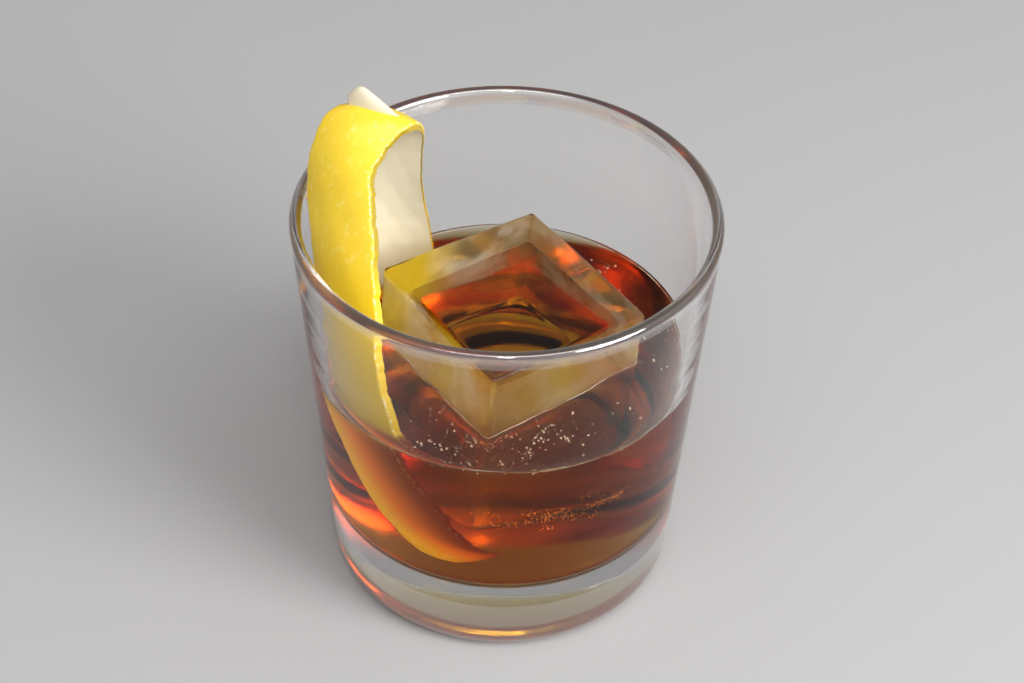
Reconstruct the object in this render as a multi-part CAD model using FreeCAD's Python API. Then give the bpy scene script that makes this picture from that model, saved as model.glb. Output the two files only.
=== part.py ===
import FreeCAD, Part
import math
import os

# An old fashioned cocktail in its glass: a heavy tapered tumbler, the drink in it, one
# large block of clear ice and a broad strip of lemon peel folded over at the top.
#
# Millimetres, +Z up. The origin is the middle of the foot, on the table, and every round
# piece shares the glass's upright axis. -Y is the front and -X the side the peel leans on.

Vector = FreeCAD.Vector
UP = Vector(0, 0, 1)

# ---------------------------------------------------------------- the glass
rim_diameter = 89.0          # over the rounded lip
foot_diameter = 74.0         # of the outer cone where it would meet the table
glass_height = 92.0
lip_thickness = 2.5          # wall at the top
low_wall = 3.2               # wall where it runs into the floor
floor_height = 18.5          # thickness of the heavy base
floor_corner = 5.0           # radius inside, between floor and wall
heel_radius = 5.5            # radius outside, between wall and foot
foot_ring_width = 4.0        # flat ring that stands on the table
push_up = 0.8                # hollow under the base, inside that ring
push_up_slope_run = 3.0      # width of the slope up into that hollow

# ---------------------------------------------------------------- the drink
drink_level = 56.0           # surface above the table

# ---------------------------------------------------------------- the ice
ice_width = 39.8             # side along its own x
ice_depth = 40.4             # side along its own y
ice_height = 39.5
ice_freeboard = 16.2         # middle of the top face above the drink
ice_centre_x = 1.9
ice_centre_y = -1.2
ice_turn = 37.0              # about the glass's axis, degrees
ice_fall = 4.3               # the top falls away along its own x, degrees
ice_rise = 2.1               # and rises along its own y, degrees
ice_edge_radius = 0.9

# ---------------------------------------------------------------- the lemon peel
peel_thickness = 1.6
peel_crown = 1.6             # how far the strip bows out between its two cut edges
peel_wall_gap = 0.5          # between the strip and the wall it leans on
# Places across the strip, from its left cut edge to its right one, and how much of the
# crown the strip has risen by there.
peel_crown_shape = [(0.0, 0.0), (0.25, 0.75), (0.5, 1.0), (0.75, 0.75), (1.0, 0.0)]
peel_steps = 38              # sections that the strip's skin runs through
# The strip from its lower end, up the wall, over the fold and down behind the ice.
# Each station gives, for the left and the right cut edge, the direction round the axis
# in degrees from +X, the distance in from the bore, less the wall gap, and the height:
# "inside" is a share of the way from floor to rim, "above" is millimetres over the rim.
peel_stations = [
    ("inside", 251.0, 1.2, 0.075, 279.0, 11.5, 0.080),
    ("inside", 232.0, 0.8, 0.180, 262.0, 8.5, 0.115),
    ("inside", 215.0, 0.2, 0.350, 246.5, 5.5, 0.295),
    ("inside", 200.5, 0.3, 0.530, 233.5, 3.0, 0.510),
    ("inside", 188.0, 0.3, 0.770, 218.0, 7.6, 0.800),
    ("inside", 175.5, 0.1, 0.985, 200.5, 12.9, 0.985),
    ("above", 168.0, -0.6, 6.0, 184.0, 14.2, 8.6),
    ("above", 162.5, 0.6, 12.4, 169.0, 16.6, 12.0),
    ("above", 157.5, 3.4, 15.4, 154.0, 19.8, 14.4),
    ("above", 153.0, 3.6, 13.4, 145.0, 20.1, 12.6),
    ("above", 151.5, 1.5, 3.0, 139.0, 18.6, 3.0),
    ("inside", 152.0, 1.0, 0.780, 132.5, 15.8, 0.780),
    ("inside", 152.0, 0.7, 0.430, 124.0, 12.8, 0.430),
]
# A lip of thick white pith that the knife left standing along the back of the fold.
pith_lip_length = 11.0
pith_lip_rise = 5.2
pith_lip_thickness = 2.2
pith_lip_root = 3.2          # how far it reaches down into the strip
pith_lip_start = 0.16        # share of the way from the left cut edge to the right one
# The lip's top line, as shares of its length and of its rise.
pith_lip_shape = [(0.0, 0.55), (0.25, 1.0), (0.62, 0.55), (1.0, 0.0)]


def outer_radius(height):
    """Radius of the outer cone at a height."""
    slope = (rim_diameter - foot_diameter) / (2 * glass_height)
    return foot_diameter / 2 + slope * height


def bore_radius(height):
    """Radius of the inner cone, from the floor to the rim."""
    share = (height - floor_height) / (glass_height - floor_height)
    wall = low_wall + (lip_thickness - low_wall) * share
    return outer_radius(height) - wall


def around_axis(direction, radius, height):
    """Point at a direction in degrees, a radius and a height."""
    angle = math.radians(direction)
    return Vector(radius * math.cos(angle), radius * math.sin(angle), height)


def revolve(edges):
    """Solid of a closed half outline in the XZ plane turned about the glass's axis."""
    face = Part.Face(Part.Wire(edges))
    return face.revolve(Vector(0, 0, 0), UP, 360)


def tangent_corner(before, corner, after, radius):
    """Arc of a radius that rounds the corner between two straight runs, with its ends."""
    to_before = (before - corner).normalize()
    to_after = (after - corner).normalize()
    half = to_before.getAngle(to_after) / 2
    start = corner + to_before * (radius / math.tan(half))
    end = corner + to_after * (radius / math.tan(half))
    bisector = (to_before + to_after).normalize()
    middle = corner + bisector * (radius / math.sin(half) - radius)
    return start, end, Part.Arc(start, middle, end).toShape()


def make_glass():
    """The tumbler: foot ring, heel, outer cone, round lip, inner cone and floor."""
    ring_outer = Vector(outer_radius(0), 0, 0)
    lip_radius = lip_thickness / 2
    lip_height = glass_height - lip_radius
    lip_outer = Vector(outer_radius(lip_height), 0, lip_height)
    lip_inner = Vector(bore_radius(lip_height), 0, lip_height)
    lip_top = Vector((lip_outer.x + lip_inner.x) / 2, 0, glass_height)
    bore_foot = Vector(bore_radius(floor_height), 0, floor_height)
    floor_middle = Vector(0, 0, floor_height)
    heel_start, heel_end, heel = tangent_corner(
        floor_middle - UP * floor_height, ring_outer, lip_outer, heel_radius)
    corner_start, corner_end, corner = tangent_corner(
        lip_inner, bore_foot, floor_middle, floor_corner)
    ring_inner = heel_start - Vector(foot_ring_width, 0, 0)
    hollow_edge = ring_inner + Vector(-push_up_slope_run, 0, push_up)
    hollow_middle = Vector(0, 0, push_up)
    return revolve([
        Part.makeLine(hollow_middle, hollow_edge),
        Part.makeLine(hollow_edge, ring_inner),
        Part.makeLine(ring_inner, heel_start),
        heel,
        Part.makeLine(heel_end, lip_outer),
        Part.Arc(lip_outer, lip_top, lip_inner).toShape(),
        Part.makeLine(lip_inner, corner_start),
        corner,
        Part.makeLine(corner_end, floor_middle),
        Part.makeLine(floor_middle, hollow_middle),
    ])


def make_bore_fill():
    """All the room inside the glass from its floor up to the drink's surface."""
    surface_edge = Vector(bore_radius(drink_level), 0, drink_level)
    surface_middle = Vector(0, 0, drink_level)
    bore_foot = Vector(bore_radius(floor_height), 0, floor_height)
    floor_middle = Vector(0, 0, floor_height)
    corner_start, corner_end, corner = tangent_corner(
        surface_edge, bore_foot, floor_middle, floor_corner)
    return revolve([
        Part.makeLine(floor_middle, corner_end),
        corner,
        Part.makeLine(corner_start, surface_edge),
        Part.makeLine(surface_edge, surface_middle),
        Part.makeLine(surface_middle, floor_middle),
    ])


def make_ice():
    """The clear block, its edges a little melted, tipped as it lies in the drink."""
    block = Part.makeBox(ice_width, ice_depth, ice_height,
                         Vector(-ice_width / 2, -ice_depth / 2, -ice_height))
    block = block.makeFillet(ice_edge_radius, block.Edges)
    tip = FreeCAD.Rotation(Vector(1, 0, 0), ice_rise).multiply(
        FreeCAD.Rotation(Vector(0, 1, 0), ice_fall))
    turn = FreeCAD.Rotation(UP, ice_turn)
    top_middle = Vector(ice_centre_x, ice_centre_y, drink_level + ice_freeboard)
    block.Placement = FreeCAD.Placement(top_middle, turn.multiply(tip))
    return block


def station_edges(station):
    """The strip's left and right cut edge on its zest side, at one station."""
    kind = station[0]
    edges = []
    for direction, inset, place in (station[1:4], station[4:7]):
        if kind == "inside":
            height = floor_height + place * (glass_height - floor_height)
        else:
            height = glass_height + place
        radius = bore_radius(min(height, glass_height)) - peel_wall_gap - inset
        edges.append(around_axis(direction, radius, height))
    return edges


def rail_curve(points, travel):
    """Smooth curve through points, each at its distance travelled along the strip."""
    curve = Part.BSplineCurve()
    curve.interpolate(Points=points, Parameters=travel)
    return curve


def peel_frames():
    """Left edge, right edge and outward normal at even steps along the strip."""
    rails = [station_edges(station) for station in peel_stations]
    middles = [(left + right) * 0.5 for left, right in rails]
    travel = [0.0]
    for before, after in zip(middles, middles[1:]):
        travel.append(travel[-1] + before.distanceToPoint(after))
    left_rail = rail_curve([left for left, right in rails], travel)
    right_rail = rail_curve([right for left, right in rails], travel)
    frames = []
    for step in range(peel_steps + 1):
        place = travel[-1] * step / peel_steps
        left, right = left_rail.value(place), right_rail.value(place)
        path = left_rail.tangent(place)[0] + right_rail.tangent(place)[0]
        frames.append((left, right, (right - left).cross(path).normalize()))
    return frames


def curve_through(points):
    """Smooth edge through a few points."""
    curve = Part.BSplineCurve()
    curve.interpolate(points)
    return curve.toShape()


def strip_section(left, right, outward):
    """Closed section of the strip: bowed zest side, bowed pith side and two cut edges."""
    across = right - left
    zest = [left + across * share + outward * (peel_crown * rise)
            for share, rise in peel_crown_shape]
    pith = [point - outward * peel_thickness for point in zest]
    return Part.Wire([
        curve_through(zest),
        Part.makeLine(zest[-1], pith[-1]),
        curve_through(pith[::-1]),
        Part.makeLine(pith[0], zest[0]),
    ])


def make_pith_lip(frames):
    """The standing lip: a low tongue on top of the fold that tapers off to the right."""
    left, right, outward = max(frames, key=lambda frame: frame[0].z + frame[1].z)
    along = (right - left).normalize()
    back = along.cross(UP).normalize() * -1
    start = left + (right - left) * pith_lip_start + outward * (peel_crown / 2)
    top = [start + along * (pith_lip_length * run) + UP * (pith_lip_rise * rise)
           for run, rise in pith_lip_shape]
    foot_start = start - UP * pith_lip_root
    foot_end = foot_start + along * pith_lip_length
    face = Part.Face(Part.Wire([
        Part.makeLine(foot_start, top[0]),
        curve_through(top),
        Part.makeLine(top[-1], foot_end),
        Part.makeLine(foot_end, foot_start),
    ]))
    return face.extrude(back * pith_lip_thickness)


def make_peel():
    """The folded strip of peel with the pith lip on its fold, as one solid."""
    frames = peel_frames()
    strip = Part.makeLoft([strip_section(*frame) for frame in frames], True, False)
    return strip.fuse(make_pith_lip(frames)).removeSplitter()


def as_one_solid(shape):
    """The single solid of a boolean's result, checked."""
    solids = shape.Solids
    if len(solids) != 1:
        raise ValueError("expected one solid, got %d" % len(solids))
    return solids[0]


glass = make_glass()
ice_block = make_ice()
lemon_peel = make_peel()
drink = make_bore_fill().cut(ice_block).cut(lemon_peel)

os.makedirs("parts", exist_ok=True)
for name, shape in (("glass", glass), ("drink", drink),
                    ("ice_block", ice_block), ("lemon_peel", lemon_peel)):
    solid = as_one_solid(shape)
    solid.exportStep("parts/%s.step" % name)
    box = solid.BoundBox
    print("%-11s %8.1f mm3  x %.1f..%.1f  y %.1f..%.1f  z %.1f..%.1f  valid %s" % (
        name, solid.Volume, box.XMin, box.XMax, box.YMin, box.YMax, box.ZMin, box.ZMax,
        solid.isValid()))
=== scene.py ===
# %% [markdown]
# # An old fashioned cocktail
#
# A heavy tapered tumbler holds an amber drink. One large block of clear ice stands out
# of it, and a broad strip of lemon peel is folded over at the rim. The sizes come from
# a CAD model that is loaded first. This lesson makes what the eye sees around it: a
# pressed glass wall that is not quite even, a drink that climbs a little at everything
# it touches, ice with melted edges, and peel with pores and pith.
#
# Lengths are in metres. The origin is the middle of the foot, +Z is up, -Y is the front.

# %% Load the fixed frame
import math

import bpy
import numpy as np
from mathutils import Matrix, Vector


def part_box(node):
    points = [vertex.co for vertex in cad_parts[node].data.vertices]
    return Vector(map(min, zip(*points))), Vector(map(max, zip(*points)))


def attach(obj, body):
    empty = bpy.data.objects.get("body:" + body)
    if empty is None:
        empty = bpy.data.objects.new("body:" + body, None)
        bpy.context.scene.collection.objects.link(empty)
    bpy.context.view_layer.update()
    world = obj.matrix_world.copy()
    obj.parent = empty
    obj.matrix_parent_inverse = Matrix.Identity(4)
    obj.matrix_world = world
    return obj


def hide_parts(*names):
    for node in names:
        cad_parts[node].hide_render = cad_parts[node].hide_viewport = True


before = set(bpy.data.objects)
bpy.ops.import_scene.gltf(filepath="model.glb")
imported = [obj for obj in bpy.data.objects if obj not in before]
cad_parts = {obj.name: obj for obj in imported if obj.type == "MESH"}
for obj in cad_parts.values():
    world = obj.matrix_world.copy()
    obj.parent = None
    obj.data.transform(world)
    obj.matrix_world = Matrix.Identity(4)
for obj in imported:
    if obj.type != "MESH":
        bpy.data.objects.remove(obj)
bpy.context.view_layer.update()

MM = 0.001
BODY = "root"
UP = np.array([0, 0, 1.0])

# %% [markdown]
# ## How a surface becomes a mesh
#
# Every piece here is a surface of two parameters: rows go one way and columns the
# other. numpy works out all its points at once, and one helper joins neighbours into
# four-sided faces. A surface that comes to a point, such as the middle of a foot, gets
# a single point there and a fan of triangles, so that it stays closed.


# %% Small helpers for points
def full_turn(steps):
    """Even angles once round, without the last one."""
    return np.linspace(0, 2 * np.pi, steps, endpoint=False)


def round_axis(turn, radius, height):
    """Points at a turn round the glass's axis, a radius and a height."""
    x, y = radius * np.cos(turn), radius * np.sin(turn)
    return np.stack(np.broadcast_arrays(x, y, height), axis=-1)


def unit(vectors):
    """The same directions, one long."""
    return vectors / np.linalg.norm(vectors, axis=-1, keepdims=True)


def way_along(points):
    """How far each point lies along a line of points, from its first one."""
    steps = np.linalg.norm(np.diff(points, axis=0), axis=1)
    return np.concatenate([[0], np.cumsum(steps)])


def ramp(values, low, high):
    """0 under low, 1 over high, straight in between."""
    return np.clip((values - low) / (high - low), 0, 1)


# %% A helper that joins a grid of points
def grid_piece(name, grid, first_pole=None, last_pole=None, wrap_rows=False, flip=False,
               sharp_degrees=None):
    """Object of a grid of points (rows, columns, 3) whose columns close on themselves.

    Face (i, j) joins points (i, j), (i, j+1), (i+1, j+1) and (i+1, j). wrap_rows joins
    the last row to the first. A pole is one point that closes the first or last row.
    flip turns every face over, for a grid whose faces would point inwards.
    """
    rows, columns = grid.shape[:2]
    index = np.arange(rows * columns).reshape(rows, columns)
    right = np.roll(index, -1, axis=1)
    below = np.roll(index, -1, axis=0)
    below_right = np.roll(right, -1, axis=0)
    quads = np.stack([index, right, below_right, below], axis=-1)
    if not wrap_rows:
        quads = quads[:-1]
    quads = quads.reshape(-1, 4)
    points = grid.reshape(-1, 3)
    faces = quads[:, ::-1].tolist() if flip else quads.tolist()
    for pole, row, turned in ((first_pole, 0, True), (last_pole, -1, False)):
        if pole is None:
            continue
        middle = len(points)
        points = np.vstack([points, pole])
        a, b = (right[row], index[row]) if turned != flip else (index[row], right[row])
        faces += np.stack([a, b, np.full(columns, middle)], axis=-1).tolist()
    return mesh_piece(name, points, faces, sharp_degrees)


def mesh_piece(name, points, faces, sharp_degrees=None):
    """Object of points and faces, shaded smooth but for edges sharper than an angle."""
    mesh = bpy.data.meshes.new(name)
    mesh.from_pydata(points.tolist(), [], faces)
    mesh.update()
    mesh.shade_smooth()
    if sharp_degrees is not None:
        mesh.set_sharp_from_angle(angle=math.radians(sharp_degrees))
    piece = bpy.data.objects.new(name, mesh)
    bpy.context.scene.collection.objects.link(piece)
    print(f"{name}: {len(mesh.vertices)} points, {len(mesh.polygons)} faces,"
          f" encloses {enclosed(mesh) / MM ** 3:.0f} mm3")
    return piece


def enclosed(mesh):
    """Volume inside a mesh: the sum of the wedges from the origin to each triangle.

    It is positive when the faces point outwards, so it also tests their direction.
    """
    mesh.calc_loop_triangles()
    corners = np.empty(len(mesh.loop_triangles) * 3, np.int32)
    mesh.loop_triangles.foreach_get("vertices", corners)
    points = np.empty(len(mesh.vertices) * 3)
    mesh.vertices.foreach_get("co", points)
    a, b, c = points.reshape(-1, 3)[corners.reshape(-1, 3)].transpose(1, 0, 2)
    return float(np.einsum("ij,ij->", a, np.cross(b, c)) / 6)


# %% What a finish can read from a piece
def store(piece, name, values):
    """Writes one number per point of a piece, for its finish to read."""
    layer = piece.data.attributes.new(name, "FLOAT", "POINT")
    layer.data.foreach_set("value", np.asarray(values, np.float32))


def face_middles(piece):
    """Middle of each face of a piece, as an array."""
    middles = np.empty(len(piece.data.polygons) * 3)
    piece.data.polygons.foreach_get("center", middles)
    return middles.reshape(-1, 3)


def give_faces(piece, numbers):
    """Lets each face take the piece's finish of its number."""
    piece.data.polygons.foreach_set("material_index", np.asarray(numbers, np.int32))


# %% [markdown]
# ## How a finish becomes nodes
#
# A shader is a sum of patterns. Written as nodes, the sum is hard to read, so a Wire
# stands for one output and takes part in plain Python sums, each of which adds a Math
# node. Any other node comes from add().


# %% Wires and nodes
class Wire:
    """One output of a shader node. + - * with it add Math nodes."""

    def __init__(self, nodes, node, output=0):
        self.nodes, self.node, self.socket = nodes, node, node.outputs[output]

    def out(self, output):
        """Another output of the same node, by name or number."""
        return Wire(self.nodes, self.node, output)

    def math(self, operation, first, second):
        """A Math node on two values or wires."""
        return self.nodes.add("ShaderNodeMath", {"operation": operation}, {0: first, 1: second})

    def __add__(self, other):
        return self.math("ADD", self, other)

    def __sub__(self, other):
        return self.math("SUBTRACT", self, other)

    def __rsub__(self, other):
        return self.math("SUBTRACT", other, self)

    def __mul__(self, other):
        return self.math("MULTIPLY", self, other)

    __radd__, __rmul__ = __add__, __mul__

    def over(self, low, high):
        """0 where the value is under low, 1 over high, and smooth in between."""
        return self.nodes.add("ShaderNodeMapRange", {"interpolation_type": "SMOOTHSTEP"},
                              {"Value": self, "From Min": low, "From Max": high})


class Nodes:
    """A node tree to add to."""

    def __init__(self, tree):
        self.tree = tree

    def add(self, kind, settings=None, inputs=None):
        """A node of a kind: its settings first, then a value or a wire for each input.

        A colour is given as red, green and blue.
        """
        node = self.tree.nodes.new(kind)
        for key, value in (settings or {}).items():
            setattr(node, key, value)
        for key, value in (inputs or {}).items():
            self.put(value, node.inputs[key])
        return Wire(self, node)

    def put(self, value, socket):
        """Links a wire to an input, or writes a value there."""
        if isinstance(value, Wire):
            self.tree.links.new(value.socket, socket)
        else:
            socket.default_value = (*value, 1.0) if socket.type == "RGBA" else value


class Finish(Nodes):
    """One material and its nodes."""

    def __init__(self, name):
        self.material = bpy.data.materials.new(name)
        self.material.use_nodes = True
        super().__init__(self.material.node_tree)
        self.tree.nodes.clear()
        self.end = self.tree.nodes.new("ShaderNodeOutputMaterial")

    def mix(self, share, first, second):
        """A colour that goes from the first to the second as share goes from 0 to 1."""
        return self.add("ShaderNodeMix", {"data_type": "RGBA"},
                        {0: share, 6: first, 7: second}).out(2)

    def place(self):
        """The point's own place on the object, in metres."""
        return self.add("ShaderNodeTexCoord").out("Object")

    def stored(self, name):
        """A value that was stored on the points of the piece."""
        return self.add("ShaderNodeAttribute", {"attribute_name": name}).out("Fac")

    def noise(self, size, detail):
        """Soft noise about 0.5 whose lumps are a size across, in metres."""
        return self.add("ShaderNodeTexNoise", None,
                        {"Vector": self.place(), "Scale": 1 / size, "Detail": detail})

    def bump(self, height, depth, strength):
        """A normal that makes the surface look raised by height times depth."""
        return self.add("ShaderNodeBump", None,
                        {"Height": height, "Distance": depth, "Strength": strength})

    def shader(self, **inputs):
        """A Principled shader. Names use _ for a space."""
        return self.add("ShaderNodeBsdfPrincipled", None,
                        {key.replace("_", " "): value for key, value in inputs.items()})

    def clear_shader(self, bend, mirror, **more):
        """A clear shader that bends light by bend and keeps a share of its mirror."""
        return self.shader(Base_Color=(1, 1, 1), Transmission_Weight=1.0, IOR=bend,
                           Specular_Tint=(mirror, mirror, mirror), **more)

    def blend(self, share, first, second):
        """A shader that goes from the first to the second as share goes from 0 to 1."""
        return self.add("ShaderNodeMixShader", None, {0: share, 1: first, 2: second})

    def surface(self, shader):
        """Ends the tree with a shader."""
        self.put(shader, self.end.inputs["Surface"])
        return self

    def volume(self, absorbs):
        """Plain absorption inside the piece, given for red, green and blue per metre.

        Blender takes it as a density and a colour: density times (1 - colour).
        """
        density = float(absorbs.max() * 1.02)
        self.put(self.add("ShaderNodeVolumeAbsorption", None,
                          {"Color": tuple(1 - absorbs / density), "Density": density}),
                 self.end.inputs["Volume"])
        return self


def put_on(piece, slot, node, *finishes):
    """Gives a piece its finishes, lets it ride on the body, and hides the CAD part that it stands
    for.
    """
    for finish in finishes:
        piece.data.materials.append(finish.material)
    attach(piece, BODY)
    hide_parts(node)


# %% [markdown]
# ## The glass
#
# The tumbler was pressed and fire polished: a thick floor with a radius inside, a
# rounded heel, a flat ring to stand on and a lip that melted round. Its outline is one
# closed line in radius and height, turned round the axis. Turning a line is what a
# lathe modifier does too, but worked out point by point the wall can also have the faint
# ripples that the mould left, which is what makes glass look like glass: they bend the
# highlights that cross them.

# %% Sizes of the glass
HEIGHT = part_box("glass")[1].z
RIM_RADIUS = 44.5 * MM       # of the outer cone where it would reach the top
FOOT_RADIUS = 37.0 * MM      # of the outer cone where it would meet the table
LIP_THICKNESS = 2.5 * MM
LOW_WALL = 3.2 * MM
FLOOR = 18.5 * MM
FLOOR_CORNER = 5.0 * MM
HEEL_RADIUS = 5.5 * MM
FOOT_RING = 4.0 * MM
PUSH_UP = 0.8 * MM
PUSH_UP_SLOPE = 3.0 * MM
POLE_RING = 0.4 * MM         # radius of the last ring round a pole
GLASS_COLUMNS = 256
print("glass height in mm:", round(HEIGHT / MM, 2))


def outer_radius(height):
    """Outer cone: a straight line from the foot's radius to the rim's."""
    return FOOT_RADIUS + (RIM_RADIUS - FOOT_RADIUS) * height / HEIGHT


def bore_radius(height):
    """Inner cone: the outer one less a wall that thins evenly from floor to rim."""
    share = (height - FLOOR) / (HEIGHT - FLOOR)
    return outer_radius(height) - (LOW_WALL + (LIP_THICKNESS - LOW_WALL) * share)


# %% Runs and rounded corners of an outline
def run(start, end, steps):
    """Even points on a straight line, without its last point."""
    share = np.arange(steps)[:, None] / steps
    return np.array(start) + (np.array(end) - np.array(start)) * share


def rounded_corner(before, corner, after, radius, steps):
    """Arc of a radius that touches both sides of a corner.

    It starts radius / tan(half the corner's angle) before the corner, and turns about
    the point on the bisector that is radius / sin(half) away.
    """
    before, corner, after = (np.array(p, float) for p in (before, corner, after))
    to_before, to_after = unit(before - corner), unit(after - corner)
    half = math.acos(float(to_before @ to_after)) / 2
    centre = corner + unit(to_before + to_after) * radius / math.sin(half)
    start = corner + to_before * radius / math.tan(half) - centre
    end = corner + to_after * radius / math.tan(half) - centre
    sweep = math.pi - 2 * half
    share = np.linspace(0, 1, steps)[:, None]
    arc = start * np.sin((1 - share) * sweep) + end * np.sin(share * sweep)
    return centre + arc / math.sin(sweep)


def round_lip(outer, inner, top, steps):
    """Half round from the outer wall over the top to the inner wall."""
    angle = np.linspace(0, math.pi, steps)[:, None]
    middle = (np.array(outer) + np.array(inner)) / 2
    sideways = (np.array(outer) - np.array(inner)) / 2
    upwards = np.array([0.0, top - middle[1]])
    return middle + sideways * np.cos(angle) + upwards * np.sin(angle)


# %% The glass's outline, from the middle of the foot round to the middle of the floor
lip_height = HEIGHT - LIP_THICKNESS / 2
lip_outer = (outer_radius(lip_height), lip_height)
lip_inner = (bore_radius(lip_height), lip_height)
heel = rounded_corner((0, 0), (FOOT_RADIUS, 0), lip_outer, HEEL_RADIUS, steps=18)
floor_corner = rounded_corner(lip_inner, (bore_radius(FLOOR), FLOOR), (0, FLOOR),
                              FLOOR_CORNER, steps=16)
ring_inner = (heel[0][0] - FOOT_RING, 0.0)
hollow_edge = (ring_inner[0] - PUSH_UP_SLOPE, PUSH_UP)
outline = np.vstack([
    run((POLE_RING, PUSH_UP), hollow_edge, steps=12),
    run(hollow_edge, ring_inner, steps=4),
    run(ring_inner, heel[0], steps=6),
    heel[:-1],
    run(heel[-1], lip_outer, steps=110),
    round_lip(lip_outer, lip_inner, HEIGHT, steps=14)[:-1],
    run(lip_inner, floor_corner[0], steps=90),
    floor_corner[:-1],
    run(floor_corner[-1], (POLE_RING, FLOOR), steps=14),
])

# %% Ripples of the mould, then the turned surface
RIPPLE_FADE = 9.0 * MM       # they fade out this near the lip and the floor
# Depth and length in mm, then how far it wanders and where it starts, in radians.
RIPPLES = ((0.006, 9.6, 1.4, 0.0), (0.0025, 6.1, 2.3, 0.8), (0.0008, 3.3, 3.0, 0.0))


def wall_ripple(height, angle):
    """Sum of slow waves up the wall whose lines wander a little round the glass."""
    up = height / MM
    wander = 0.5 * np.sin(2 * angle + 0.7) + 0.35 * np.sin(3 * angle + 2.1)
    waves = sum(deep * np.sin(2 * np.pi * up / long + wanders * wander + start)
                for deep, long, wanders, start in RIPPLES)
    fade = ramp(height - FLOOR, 0, RIPPLE_FADE) * ramp(HEIGHT - height, 0, RIPPLE_FADE)
    return waves * MM * fade


radius, height = outline[:, :1], outline[:, 1:]
angle = full_turn(GLASS_COLUMNS)
glass = grid_piece("tumbler", round_axis(angle, radius + wall_ripple(height, angle), height),
                   first_pole=(0, 0, PUSH_UP), last_pole=(0, 0, FLOOR), sharp_degrees=28)

# %% [markdown]
# ## The ice block
#
# Clear ice is cut with a saw and then melts: its faces stay nearly flat, its edges go
# round, and a slow wave runs over each face. A rounded box is the simplest formula for
# it. A point on a plain box is pulled back to a smaller box, and then set one edge
# radius away from it, so faces stay flat and edges turn. A soft wave on top is the melt.

# %% Place, size and tilt of the block
ice_low, ice_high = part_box("ice_block")
ICE_CENTRE = (np.array(ice_low) + np.array(ice_high)) / 2
ICE_HALF = np.array([39.8, 40.4, 39.5]) / 2 * MM
ICE_EDGE = 1.3 * MM
ICE_STEPS = 44
ICE_TURN, ICE_FALL, ICE_RISE = (math.radians(v) for v in (37.0, 4.3, 2.1))
ICE_TILT = np.array(Matrix.Rotation(ICE_TURN, 3, "Z") @ Matrix.Rotation(ICE_RISE, 3, "X")
                    @ Matrix.Rotation(ICE_FALL, 3, "Y"))
MELTED, MELT_WAVE = 0.16, 0.09     # mm: how far the faces went in, and how unevenly
print("ice centre in mm:", np.round(ICE_CENTRE / MM, 2))


def melt(points):
    """How far each face has melted in: slow waves over the block, always inwards.

    The wave is the sum of two products of sines, each of two slanting lengths.
    """
    x, y, z = np.moveaxis(points / MM, -1, 0)
    wave = (np.sin(0.21 * x + 0.13 * y + 0.4) * np.sin(0.17 * z - 0.11 * x + 1.0)
            + 0.6 * np.sin(0.31 * y + 0.19 * z + 2.0) * np.sin(0.23 * x - 0.27 * z))
    return (MELTED + MELT_WAVE * wave) * MM


def rounded_block(points, inset=0.0):
    """Points of a plain box moved onto the rounded, melted block, less an inset."""
    core = np.clip(points, -(ICE_HALF - ICE_EDGE), ICE_HALF - ICE_EDGE)
    shrink = melt(points)[..., None]
    return core + unit(points - core) * (ICE_EDGE - shrink - inset)


def into_glass(points):
    """From the block's own axes to where it lies in the drink."""
    return points @ ICE_TILT.T + ICE_CENTRE


def into_block(points):
    """Back from the drink to the block's own axes."""
    return (points - ICE_CENTRE) @ ICE_TILT


# %% Six faces of a box, joined and rounded
def box_faces(half, edge, steps):
    """Grids over the six faces of a box, closer together near the edges."""
    near_edge = 1 - edge / half.min() * np.array([0.75, 0.5, 0.25])
    share = np.linspace(-1, 1, steps) * (1 - edge / half.min())
    share = np.unique(np.concatenate([share, near_edge, -near_edge, [-1, 1]]))
    a, b = np.meshgrid(share, share, indexing="ij")
    grids = []
    for axis in range(3):
        for side in (-1.0, 1.0):
            face = np.empty(a.shape + (3,))
            face[..., axis] = side
            face[..., (axis + 1) % 3], face[..., (axis + 2) % 3] = (a, b) if side > 0 else (b, a)
            grids.append(face * half)
    return grids


def join_grids(grids):
    """One list of points and faces from several open grids, doubles merged."""
    points, faces, start = [], [], 0
    for grid in grids:
        rows, columns = grid.shape[:2]
        index = start + np.arange(rows * columns).reshape(rows, columns)
        corners = [index[:-1, :-1], index[1:, :-1], index[1:, 1:], index[:-1, 1:]]
        faces.append(np.stack(corners, axis=-1).reshape(-1, 4))
        points.append(grid.reshape(-1, 3))
        start += rows * columns
    points, faces = np.vstack(points), np.vstack(faces)
    in_microns = np.round(points / (1e-3 * MM)).astype(int)
    _, first, merged = np.unique(in_microns, axis=0, return_index=True, return_inverse=True)
    return points[first], merged.ravel()[faces]


box_points, box_quads = join_grids(box_faces(ICE_HALF, ICE_EDGE, ICE_STEPS))
ice = mesh_piece("ice", into_glass(rounded_block(box_points)), box_quads.tolist())

# %% [markdown]
# ## The drink
#
# The drink fills the glass up to its level, round the block. Its skin is one closed
# surface: it starts under the block, runs out along the hollow that the block floats
# in, climbs the block's sides to the waterline, crosses to the wall, goes down inside
# the wall and comes back along the floor. Rows follow that path, and columns go round.
#
# Two overlaps matter for a renderer. The drink reaches a quarter of a millimetre into
# the wall, so that no film of air shows between them, and its hollow is a little
# smaller than the block for the same reason. At everything that it wets, the drink
# climbs in a thin curve.

# %% Sizes of the drink
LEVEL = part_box("drink")[1].z
INTO_WALL = 0.25 * MM
ICE_OVERLAP = 0.15 * MM
CLIMB = 1.3 * MM             # height of the wetted edge
CLIMB_REACH = 1.5 * MM       # over which it falls away
ROW_CROWDING = 0.09          # how much the rows of the surface crowd at both its edges
print("drink level in mm:", round(LEVEL / MM, 2))


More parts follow.
